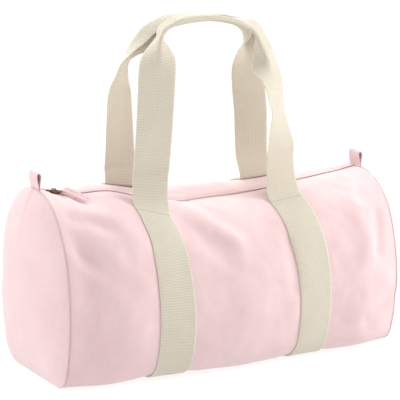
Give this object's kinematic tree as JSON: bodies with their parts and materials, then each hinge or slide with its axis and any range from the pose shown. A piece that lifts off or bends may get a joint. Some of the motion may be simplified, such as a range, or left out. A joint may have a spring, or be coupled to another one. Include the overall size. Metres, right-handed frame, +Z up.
{
  "type": "barrel bag",
  "caption": "Soft barrel bag of pale pink canvas with cream webbing handles sewn round the body, a sagging top zip with a pull, and a canvas loop at each end.",
  "frame": {"origin": "on the floor under the middle of the barrel, midway between the end seams, below the zip", "axes": "+X along the barrel towards the zip's open end, +Y towards the back face, +Z up; the front face looks along -Y"},
  "size_m": [0.5438, 0.276, 0.4667],
  "materials": {
    "pink_canvas": "matte cotton canvas, plain weave",
    "cream_webbing": "matte ribbed cotton webbing",
    "seam_binding": "matte binding tape",
    "zip_tape": "matte woven tape",
    "antique_metal": "dark antique brass"
  },
  "bodies": {
    "bag": {"barrel_panel": "pink_canvas", "left_end_panel": "pink_canvas", "right_end_panel": "pink_canvas", "left_seam_binding": "seam_binding", "right_seam_binding": "seam_binding", "left_tab_loop": "pink_canvas", "right_tab_loop": "pink_canvas", "left_strap": "cream_webbing", "right_strap": "cream_webbing", "front_zip_tape": "zip_tape", "back_zip_tape": "zip_tape", "front_zip_teeth": "antique_metal", "back_zip_teeth": "antique_metal", "zip_top_stops": "antique_metal", "zip_bottom_stop": "antique_metal"},
    "front_handle": {"front_handle": "cream_webbing"},
    "back_handle": {"back_handle": "cream_webbing"},
    "slider": {"zip_slider": "antique_metal"},
    "pull_ring": {"zip_pull_ring": "antique_metal"},
    "pull_tab": {"zip_pull_tab": "pink_canvas"}
  },
  "joints": [
    {"name": "front_handle_swing", "type": "hinge", "parent": "bag", "child": "front_handle", "pos_m": [0, -0.05452, 0.21873], "axis": [1, 0, 0], "range_deg": [0, 112]},
    {"name": "back_handle_swing", "type": "hinge", "parent": "bag", "child": "back_handle", "pos_m": [0, 0.04407, 0.23231], "axis": [-1, 0, 0], "range_deg": [0, 96]},
    {"name": "zip_travel", "type": "hinge", "parent": "bag", "child": "slider", "pos_m": [0.025, 0, 1.264], "axis": [0, -1, 0], "range_deg": [0, 24.02], "deforming": ["front_zip_teeth", "back_zip_teeth"]},
    {"name": "pull_ring_flip", "type": "hinge", "parent": "slider", "child": "pull_ring", "pos_m": [-0.22187, 0, 0.24601], "axis": [-0.5983, -0.788, 0.1451], "range_deg": [0, 95]},
    {"name": "pull_tab_flip", "type": "hinge", "parent": "pull_ring", "child": "pull_tab", "pos_m": [-0.21421, -0.00616, 0.24415], "axis": [-0.5983, -0.788, 0.1451], "range_deg": [0, 55]}
  ]
}
